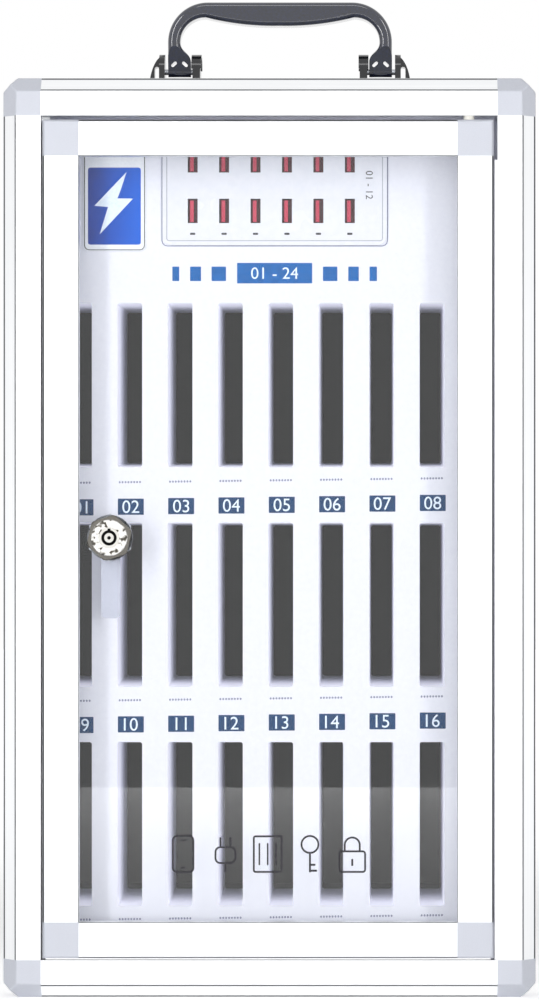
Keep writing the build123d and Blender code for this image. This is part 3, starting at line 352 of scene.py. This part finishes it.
# White ABS, polished mould: glossier than the panel round it.
hub_finish = finish("polished_white_abs", "#E8E9F1", "#E3E5EE", 3.0, 30, (0.2, 0.28), 0.01)

# Card printed and laminated: smooth and glossy.
sign_finish = finish("laminated_white_card", "#F4F6FB", "#ECEFF6", 1.2, 20, (0.18, 0.26), 0.01)

# Screen ink: a thin satin film, its tone a little uneven where the squeegee passed.
blue_ink = finish("screen_ink_blue", "#0068B6", "#005CA4", 3.5, 12, (0.3, 0.42), 0.01,
                  Specular_IOR_Level=0.0)
tag_ink = finish("screen_ink_navy", "#0A4272", "#08365F", 2.5, 12, (0.3, 0.42), 0.01,
                 Specular_IOR_Level=0.0)
deep_blue_ink = finish("screen_ink_deep_blue", "#003DA6", "#003292", 9.0, 18, (0.2, 0.3), 0.01,
                       fade=(0, -92, -68, "#0060D4"), Specular_IOR_Level=0.0)
white_ink = finish("screen_ink_white", "#EAF4FF", "#DCEBFA", 1.5, 8, (0.3, 0.4), 0.01)
dark_ink = finish("screen_ink_dark", "#2A2830", "#1B1A22", 0.9, 8, (0.35, 0.5), 0.01)
grey_ink = finish("screen_ink_grey", "#A7ABB8", "#969AA8", 0.9, 8, (0.35, 0.5), 0.01)
# slate ink for the write-on lines, also used for the painted shadow line round the charger's face
slate_ink_and_shadow_line = finish("screen_ink_slate_and_painted_shadow", "#7D80A0", "#666A8C", 0.9, 8, (0.35, 0.5), 0.01)

# Tin plated steel shells, pressed: soft mirror. Their dark maroon grey is painted shade with a painted
# reflection of the red nylon inside.
tin_finish = finish("tin_plated_steel_painted_red_shade", "#6A5A60", "#51444A", 0.4, 5, (0.22, 0.34), 0.01, Metallic=1.0)

# Red nylon tongue, glossy from the mould, on a block of the same nylon deep in the shell; deeper in the
# shell the tone fades to a painted dark maroon shade.
red_finish = finish("moulded_red_nylon_painted_shade_deep", "#D0405C", "#BC304C", 0.6, 5, (0.16, 0.26), 0.01,
                    fade=(1, -57.0, -53.0, "#4A0A18"))

# Glass epoxy board, green solder mask: the pads are 2.5 mm apart.
circuit_finish = finish("green_solder_mask", "#1F7A3E", "#0F5A2B", 2.5, 12, (0.25, 0.4), 0.03)

# Natural nylon, slightly translucent.
nylon_finish = finish("natural_nylon", "#ECEAE3", "#DEDCD3", 0.5, 6, (0.38, 0.5), 0.02)

# Black moulded nylon, sparked.
inlet_finish = finish("sparked_black_nylon", "#1C1C1F", "#121214", 0.4, 12, (0.42, 0.55), 0.03)

# ---------------------------------------------------------------- metal and gloss finishes

# Gloss black ABS, polished mould: nearly black with a cold tint and long clear highlights.
handle_finish = finish("gloss_black_abs", "#151D38", "#060916", 1.1, 25, (0.06, 0.13), 0.03,
                       Specular_IOR_Level=0.7, Coat_Weight=1.0, Coat_Roughness=0.04)

# Zinc casting with gloss black enamel: softer edges of light than the handle.
bracket_finish = finish("black_enamelled_casting", "#101218", "#090A0F", 2.2, 16, (0.12, 0.22), 0.02,
                        Coat_Weight=0.4, Coat_Roughness=0.08)

# Bright zinc plate on steel.
zinc_finish = finish("zinc_plated_steel", "#C6C9CE", "#A9ADB4", 0.5, 7, (0.24, 0.38), 0.01,
                     Metallic=1.0)

# Chrome plated zinc casting, wheel polished: a mirror, with a faint fine grain.
chrome_finish = finish("bright_chrome", "#D7D6D2", "#C4C3BF", 0.5, 6, (0.07, 0.14), 0.004,
                       Metallic=1.0)

# The plug's keyway is deep: below its face it is painted nearly black, as shade.
plug_finish = finish("chrome_with_painted_shade_in_keyway", "#F6F4EE", "#D8D6D0", 0.5, 6, (0.12, 0.2), 0.004,
                     fade=(1, -91.4, -91.2, "#070708"), Metallic=0.7)

# Zinc plate, dulled: satin, a cold grey.
dull_zinc_finish = finish("dull_zinc_plate", "#AEB0BC", "#A0A2AF", 0.6, 9, (0.42, 0.5), 0.006,
                          Metallic=0.7)

# Soft pale vinyl strips that seal the door's gap, beside the hinges and below.
lip_finish = finish("pale_vinyl_lip", "#F4F4F5", "#EAEAEC", 0.7, 20, (0.45, 0.6), 0.02)


def paint_wall_light(material, start, stop, level):
    """Painted light that makes the pockets' walls glow: `level` just behind Y = start, falling to none
    at stop.

    Both places are in millimetres, and nothing glows in front of the first.
    """
    tree = material.node_tree
    shader = next(n for n in tree.nodes if n.type == "BSDF_PRINCIPLED")
    depth = add(tree, "ShaderNodeSeparateXYZ",
                {0: add(tree, "ShaderNodeTexCoord").outputs["Object"]}).outputs[1]
    behind = add(tree, "ShaderNodeMath", {0: depth, 1: start * MM}, operation="GREATER_THAN")
    left = add(tree, "ShaderNodeMapRange", {"Value": depth, "From Min": start * MM,
                                            "From Max": stop * MM, "To Min": level, "To Max": 0.0})
    strength = add(tree, "ShaderNodeMath", {0: behind.outputs[0], 1: left.outputs[0]},
                   operation="MULTIPLY")
    shader.inputs["Emission Color"].default_value = linear("#F2F0FA")
    tree.links.new(strength.outputs[0], shader.inputs["Emission Strength"])


# painted light: the pockets' walls glow as an emission on the white panel
paint_wall_light(panel_finish, PANEL_FRONT + GLOW_START, PANEL_FRONT + GLOW_STOP, GLOW_LEVEL)


def lock_chrome():
    """Chromed casting: a round face, wavy from hand polishing, in a darker six sided bezel.

    The face is where the distance to the lock's axis is under LOCK_FACE_R. Its waves are WAVE_WIDTH
    wide and WAVE_DEPTH deep, in millimetres, which breaks what it mirrors into patches, and the
    hollows get a dark painted reflection.
    """
    material, tree, shader, place = new_surface("chromed_zinc_casting", Metallic=0.72)
    round_axis = add(tree, "ShaderNodeVectorMath", {0: place, 1: (LOCK_X * MM, 0, LOCK_Z * MM)},
                     operation="SUBTRACT")
    flat = add(tree, "ShaderNodeVectorMath", {0: round_axis.outputs[0], 1: (1, 0, 1)},
               operation="MULTIPLY")
    radius = add(tree, "ShaderNodeVectorMath", {0: flat.outputs[0]}, operation="LENGTH")
    face = add(tree, "ShaderNodeMapRange", {"Value": radius.outputs["Value"],
                                            "From Min": LOCK_FACE_R[0] * MM,
                                            "From Max": LOCK_FACE_R[1] * MM})
    waves = add(tree, "ShaderNodeTexNoise",
                {"Vector": place, "Scale": 1 / (WAVE_WIDTH * MM), "Detail": 1.5})
    # painted reflection: the hollows of the waves are painted dark, the crests pale
    bright_patch = add(tree, "ShaderNodeMapRange", {"Value": waves.outputs[0], "From Min": 0.39,
                                             "From Max": 0.49})
    metal = add(tree, "ShaderNodeMix", {0: bright_patch.outputs[0], 6: linear("#5E5A52"), 7: linear("#FFFDF8")},
                data_type="RGBA")
    tone = add(tree, "ShaderNodeMix", {0: face.outputs[0], 6: linear("#76736D"), 7: metal.outputs[2]},
               data_type="RGBA")
    height = add(tree, "ShaderNodeMath", {0: waves.outputs[0], 1: face.outputs[0]},
                 operation="MULTIPLY")
    bump = add(tree, "ShaderNodeBump", {"Height": height.outputs[0], "Strength": 1.0,
                                        "Distance": WAVE_DEPTH * MM})
    gloss = add(tree, "ShaderNodeMapRange", {"Value": waves.outputs[0], "To Min": 0.14, "To Max": 0.22})
    tree.links.new(tone.outputs[2], shader.inputs["Base Color"])
    tree.links.new(gloss.outputs[0], shader.inputs["Roughness"])
    tree.links.new(bump.outputs[0], shader.inputs["Normal"])
    return material


def clear_acrylic():
    """Cast acrylic sheet, polished: clear, with faint wiping marks; lamps reach what is behind it."""
    material, tree, shader, place = new_surface("cast_clear_acrylic", Base_Color=linear("#FBFDFF"),
                                                IOR=1.49, Transmission_Weight=1.0,
                                                Specular_IOR_Level=0.3)
    marks = add(tree, "ShaderNodeTexNoise", {"Vector": place, "Scale": 1 / (35 * MM), "Detail": 3.0})
    haze = add(tree, "ShaderNodeMapRange", {"Value": marks.outputs[0], "From Min": 0.45,
                                            "From Max": 0.75, "To Min": 0.0, "To Max": 0.03})
    tree.links.new(haze.outputs[0], shader.inputs["Roughness"])
    ray = add(tree, "ShaderNodeLightPath")
    through = add(tree, "ShaderNodeMath", {0: ray.outputs["Is Shadow Ray"],
                                           1: ray.outputs["Is Diffuse Ray"]}, operation="MAXIMUM")
    passing = add(tree, "ShaderNodeBsdfTransparent")
    both = add(tree, "ShaderNodeMixShader", {0: through.outputs[0], 1: shader.outputs[0],
                                             2: passing.outputs[0]})
    out = next(n for n in tree.nodes if n.type == "OUTPUT_MATERIAL")
    tree.links.new(both.outputs[0], out.inputs["Surface"])
    return material


pane_finish = clear_acrylic()

finishes = {"corner_plastic": corner_finish, "case_board": board_finish, "nylon_white": nylon_finish,
            "bracket_black": bracket_finish, "pin_steel": zinc_finish, "rivet_steel": zinc_finish,
            "panel_white": panel_finish, "crate_black": crate_finish, "sign_white": sign_finish,
            "hub_plastic": hub_finish, "port_steel": tin_finish, "tongue_red": red_finish,
            "circuit_board": circuit_finish, "inlet_black": inlet_finish,
            "pane_clear": pane_finish, "lock_chrome": chrome_finish, "handle_black": handle_finish}

own = {"lock_body": lock_chrome(), "lock_plug": plug_finish, "lock_cam": dull_zinc_finish,
       "back_panel": back_finish}

for part in frame["record"]["subparts"]:
    node, slot_name = part["node"], part["material_slot"]
    if node in own:
        dress(node, own[node])
    elif slot_name != "rail_aluminium":
        dress(node, finishes[slot_name])
    elif node.startswith("edge_rail"):
        dress(node, rail_finish[1])
    elif node.endswith(("_left", "_right")):
        dress(node, rail_finish[2])
    else:
        dress(node, rail_finish[0])

# ---------------------------------------------------------------- prints on the slot panel

places = places_of(COLUMNS, TAG_Z)
places[:, 1] += TAG_TILT * places[:, 0]
places[:, 0] += TAG_SHIFT
tag_outlines = rounded(TAG_W, TAG_H, 0.3, 3) + places[:, None, :]
plates("number_tags", tag_outlines, PANEL_FRONT - INK, INK, tag_ink, "case")
numerals("tag_numbers", [f"{n:02d}" for n in range(1, 25)], places, TAG_NUMERAL,
         PANEL_FRONT - 2 * INK, 0, white_ink, "case")

# write-on lines: eight dots above each tag
dots = places_of(np.linspace(-LINE_HALF, LINE_HALF, 8), [0.0])
dot_places = (places_of(COLUMNS, LINE_Z)[:, None, :] + dots).reshape(-1, 2)
dot_places[:, 1] += TAG_TILT * dot_places[:, 0]
plates("write_on_lines", rounded(0.9, 1.1, 0.3, 2) + dot_places[:, None, :], PANEL_FRONT - INK, INK,
       slate_ink_and_shadow_line, "case")

# the charging area's bar, with three blocks each side that get narrower outwards
plates("charge_bar", [box_outline(CHARGE_BAR_X, CHARGE_BAR_Z, 0.3)], PANEL_FRONT - INK, INK,
       blue_ink, "case")
numerals("charge_bar_numbers", ["01 - 24"], [(sum(CHARGE_BAR_X) / 2, sum(CHARGE_BAR_Z) / 2)],
         BAR_NUMERAL, PANEL_FRONT - 2 * INK, 0, white_ink, "case")
plates("charge_bar_blocks", [box_outline(block, BLOCKS_Z, 0.3) for block in BLOCKS_X],
       PANEL_FRONT - INK, INK, blue_ink, "case")

# ---------------------------------------------------------------- sealing lips in the door's gap

plates("gap_lip_right", [box_outline(LIP_RIGHT_X, LIP_RIGHT_Z, 0.2)], LIP_FRONT, LIP_DEPTH, lip_finish,
       "case")
plates("gap_lip_bottom", [box_outline(LIP_BOTTOM_X, LIP_BOTTOM_Z, 0.1)], LIP_FRONT, LIP_DEPTH,
       lip_finish, "door")

# ---------------------------------------------------------------- sign card

plates("sign_blue_field", [box_outline(SIGN_FIELD_X, SIGN_FIELD_Z, 1.2)], SIGN_FRONT - INK, INK,
       deep_blue_ink, "case")
bolt = [(-90.3, 402.7), (-83.3, 402.1), (-87.6, 388.1), (-70.5, 406.4), (-78.5, 406.5), (-76.8, 410.9),
        (-73.8, 420.0)]
plates("sign_bolt", [bolt], SIGN_FRONT - 2 * INK, INK, white_ink, "case")
sign_line = [box_outline(*grown(SIGN_X, SIGN_Z, -inset), SIGN_R - inset) for inset in SIGN_LINE]
bands("sign_outline", sign_line[:1], sign_line[1:], SIGN_FRONT - INK, INK, dark_ink, "case")

# ---------------------------------------------------------------- charger face

bands("hub_border", [box_outline(*grown(HUB_X, HUB_Z, -HUB_LINE[0]), 1.0)],
      [box_outline(*grown(HUB_X, HUB_Z, -HUB_LINE[1]), 1.4)], HUB_FRONT - INK, INK, grey_ink, "case")
# painted shadow: a slate line on the panel round the charger's face plate, where its edge shades the
# panel
bands("hub_shadow_line", [box_outline(*grown(HUB_X, HUB_Z, HUB_SHADOW_LINE[0]), 2.6)],
      [box_outline(*grown(HUB_X, HUB_Z, HUB_SHADOW_LINE[1]), 3.0)], PANEL_FRONT - INK, INK, slate_ink_and_shadow_line, "case")
plates("port_lamps", rounded(2.7, 1.1, 0.3, 3) + places_of(PORTS_X, LED_Z)[:, None, :],
       HUB_FRONT - INK, INK, dark_ink, "case")
numerals("port_numbers", ["01 - 12"], [PORT_NUMBERS_AT], PORT_NUMERAL, HUB_FRONT - INK, -math.pi / 2,
         dark_ink, "case")

# ---------------------------------------------------------------- pictograms on the pane


def arc(x, z, r, start, stop, steps=24):
    """Points of an arc about (x, z): r times (cos, sin) of evenly spaced angles in degrees."""
    turn = np.radians(np.linspace(start, stop, steps))
    return np.stack([x + r * np.cos(turn), z + r * np.sin(turn)], 1)


def ring(outline, width):
    """A closed outline's two sides, half the width out and in along its normals."""
    outline = np.asarray(outline, float)
    run = np.roll(outline, -1, 0) - np.roll(outline, 1, 0)
    normal = np.stack([run[:, 1], -run[:, 0]], 1)
    normal *= width / 2 / np.linalg.norm(normal, axis=1, keepdims=True)
    return outline - normal, outline + normal


icon_x = ICON_MIDDLE + ICON_PITCH * (np.arange(5) - 2)
icon_z = ICON_Z
phone = rounded(10.4, 18.4, 2.2) + (icon_x[0], icon_z)
plug_head = rounded(10.0, 8.0, 2.4) + (icon_x[1], icon_z - 0.5)
cabinet = rounded(14.0, 18.0, 0.9) + (icon_x[2], icon_z)
key_bow = arc(icon_x[3], icon_z + 4.9, 4.3, 0, 360, 25)[:-1]
lock_case = rounded(13.0, 10.4, 1.2) + (icon_x[4], icon_z - 3.8)
for label, outline in [("phone", phone), ("cabinet", cabinet), ("padlock", lock_case),
                       ("plug", plug_head), ("key", key_bow)]:
    inner, outer = ring(outline, ICON_LINE)
    bands(f"pane_{label}", [inner], [outer], PANE_FRONT - INK, INK, dark_ink, "door")

bars = [((icon_x[0] - 1.8, icon_x[0] + 1.8), (icon_z + 6.6, icon_z + 7.3)),
        ((icon_x[0] - 1.2, icon_x[0] + 1.2), (icon_z - 7.4, icon_z - 6.6)),
        ((icon_x[1] - 3.0, icon_x[1] - 2.0), (icon_z + 3.9, icon_z + 8.6)),
        ((icon_x[1] + 2.0, icon_x[1] + 3.0), (icon_z + 3.9, icon_z + 8.6)),
        ((icon_x[1] - 0.5, icon_x[1] + 0.5), (icon_z - 9.2, icon_z - 4.9)),
        ((icon_x[2] - 4.6, icon_x[2] - 3.8), (icon_z - 5.6, icon_z + 5.6)),
        ((icon_x[2] - 0.4, icon_x[2] + 0.4), (icon_z - 5.6, icon_z + 5.6)),
        ((icon_x[2] + 3.8, icon_x[2] + 4.6), (icon_z - 5.6, icon_z + 5.6)),
        ((icon_x[3] - 0.5, icon_x[3] + 0.5), (icon_z - 9.2, icon_z + 0.2)),
        ((icon_x[3] + 0.3, icon_x[3] + 3.6), (icon_z - 8.9, icon_z - 7.9)),
        ((icon_x[3] + 0.3, icon_x[3] + 2.8), (icon_z - 5.9, icon_z - 4.9)),
        ((icon_x[4] - 0.5, icon_x[4] + 0.5), (icon_z - 6.0, icon_z - 2.4))]
plates("pane_icon_bars", [box_outline(*bar, 0.3, 3) for bar in bars], PANE_FRONT - INK, INK,
       dark_ink, "door")
shackle = stroke(np.concatenate([[(icon_x[4] + 3.8, icon_z + 1.6)],
                                 arc(icon_x[4], icon_z + 4.6, 3.8, 0, 180),
                                 [(icon_x[4] - 3.8, icon_z + 1.6)]]), ICON_LINE)
plates("pane_shackle", [shackle], PANE_FRONT - INK, INK, dark_ink, "door")

# ---------------------------------------------------------------- floor, sky, light

FLOOR_GLOW = 0.45                    # of white, by the case, where the lamps do the rest
FLOOR_NEAR, FLOOR_FAR = 0.35, 1.5    # metres from the axes, between which the glow grows
FLOOR_FRONT, FLOOR_REACH = -1.45, 4  # the sheet's front edge, and how far its other edges are
SKY_SHARE = 0.3                      # of white, for matt surfaces: the front fill does the rest


def seen_or_mirrored(tree):
    """1 for the eye's rays and for those that metal and glass send on, 0 for the rays that light."""
    ray = add(tree, "ShaderNodeLightPath")
    clear = add(tree, "ShaderNodeMath", {0: ray.outputs["Is Camera Ray"],
                                         1: ray.outputs["Is Transmission Ray"]}, operation="MAXIMUM")
    return add(tree, "ShaderNodeMath", {0: clear.outputs[0], 1: ray.outputs["Is Glossy Ray"]},
               operation="MAXIMUM").outputs[0]


def plain(name, code, rough):
    """Matt studio card that glows just enough to look white where no shadow falls.

    The glow grows in step with the distance to the axes, from FLOOR_GLOW at FLOOR_NEAR to 1.0 at
    FLOOR_FAR. Metal and glass see the same card as the eye does.
    """
    material, tree, shader, place = new_surface(name, Base_Color=linear(code), Roughness=rough,
                                                Emission_Color=(1, 1, 1, 1))
    seen = seen_or_mirrored(tree)
    reach = add(tree, "ShaderNodeVectorMath", {0: place}, operation="LENGTH").outputs["Value"]
    glow = add(tree, "ShaderNodeMapRange", {"Value": reach, "From Min": FLOOR_NEAR,
                                            "From Max": FLOOR_FAR, "To Min": FLOOR_GLOW,
                                            "To Max": 1.0})
    lift = add(tree, "ShaderNodeMath", {0: seen, 1: glow.outputs[0]}, operation="MULTIPLY")
    tree.links.new(lift.outputs[0], shader.inputs["Emission Strength"])
    return material


def stage_sheet(name, corners, material):
    """A flat four-cornered sheet of the stage, in metres."""
    mesh = bpy.data.meshes.new(name)
    mesh.from_pydata(corners, [], [(0, 1, 2, 3)])
    mesh.materials.append(material)
    sheet = bpy.data.objects.new(name, mesh)
    bpy.context.scene.collection.objects.link(sheet)
    return sheet


stage_sheet("floor", [(-FLOOR_REACH, FLOOR_FRONT, 0), (FLOOR_REACH, FLOOR_FRONT, 0),
                      (FLOOR_REACH, FLOOR_REACH, 0), (-FLOOR_REACH, FLOOR_REACH, 0)],
            plain("pale_floor", "#F4F4F4", 0.8))

world = bpy.data.worlds.new("soft_studio")
bpy.context.scene.world = world
world.use_nodes = True
sky = world.node_tree
sky.nodes.clear()
# white for the eye, the metal and the glass; matt surfaces get SKY_SHARE of it
level = add(sky, "ShaderNodeMix", {0: seen_or_mirrored(sky), 2: SKY_SHARE, 3: 1.0}, data_type="FLOAT")
glow = add(sky, "ShaderNodeBackground", {"Color": (1, 1, 1, 1), "Strength": level.outputs[0]})
add(sky, "ShaderNodeOutputWorld", {"Surface": glow.outputs[0]})


def softbox(name, place, aim, size, watts):
    """A rectangular area lamp at `place` that faces `aim`, in metres."""
    lamp = bpy.data.lights.new(name, "AREA")
    lamp.shape = "RECTANGLE"
    lamp.size, lamp.size_y = size
    lamp.energy = watts
    thing = bpy.data.objects.new(name, lamp)
    thing.location = place
    away = Vector(place) - Vector(aim)
    thing.rotation_euler = away.to_track_quat("Z", "Y").to_euler()
    bpy.context.scene.collection.objects.link(thing)
    return thing


softbox("strip_left", (-0.9, -1.9, 0.72), (0, 0, 0.25), (0.22, 1.4), 13)
softbox("strip_right", (1.0, -1.8, 0.72), (0, 0, 0.25), (0.22, 1.4), 8.5)
softbox("high_front", (0, -1.5, 1.7), (0, 0, 0.4), (0.9, 0.3), 3)
# wide enough to shine on the pockets' walls; its mirror image would hide the slots, so neither
# metal nor glass shows it
fill = softbox("front_fill", (0.05, -1.6, 0.1), (0, 0, 0.22), (1.9, 0.6), 12.8)
fill.visible_glossy = False
fill.visible_transmission = False
fill.visible_camera = False

# ---------------------------------------------------------------- camera

SPAN = 0.2724          # width of the view at the case's front, metres
DISTANCE = 2.0
EYE_X, EYE_Z = 0.055, 0.263
VIEW_X, VIEW_Z = 0.0002, 0.2521    # the middle of the view, at the case's front
camera = bpy.data.cameras.new("front")
camera.sensor_fit = "HORIZONTAL"
camera.sensor_width = 36
camera.lens = 36 * DISTANCE / SPAN
camera.shift_x = (VIEW_X - EYE_X) / SPAN
camera.shift_y = (VIEW_Z - EYE_Z) / SPAN
camera.clip_end = 50
view = bpy.data.objects.new("front", camera)
view.location = (EYE_X, CASE_FRONT * MM - DISTANCE, EYE_Z)
view.rotation_euler = (math.pi / 2, 0, 0)
bpy.context.scene.collection.objects.link(view)
bpy.context.scene.camera = view
bpy.context.scene.view_settings.view_transform = "Standard"
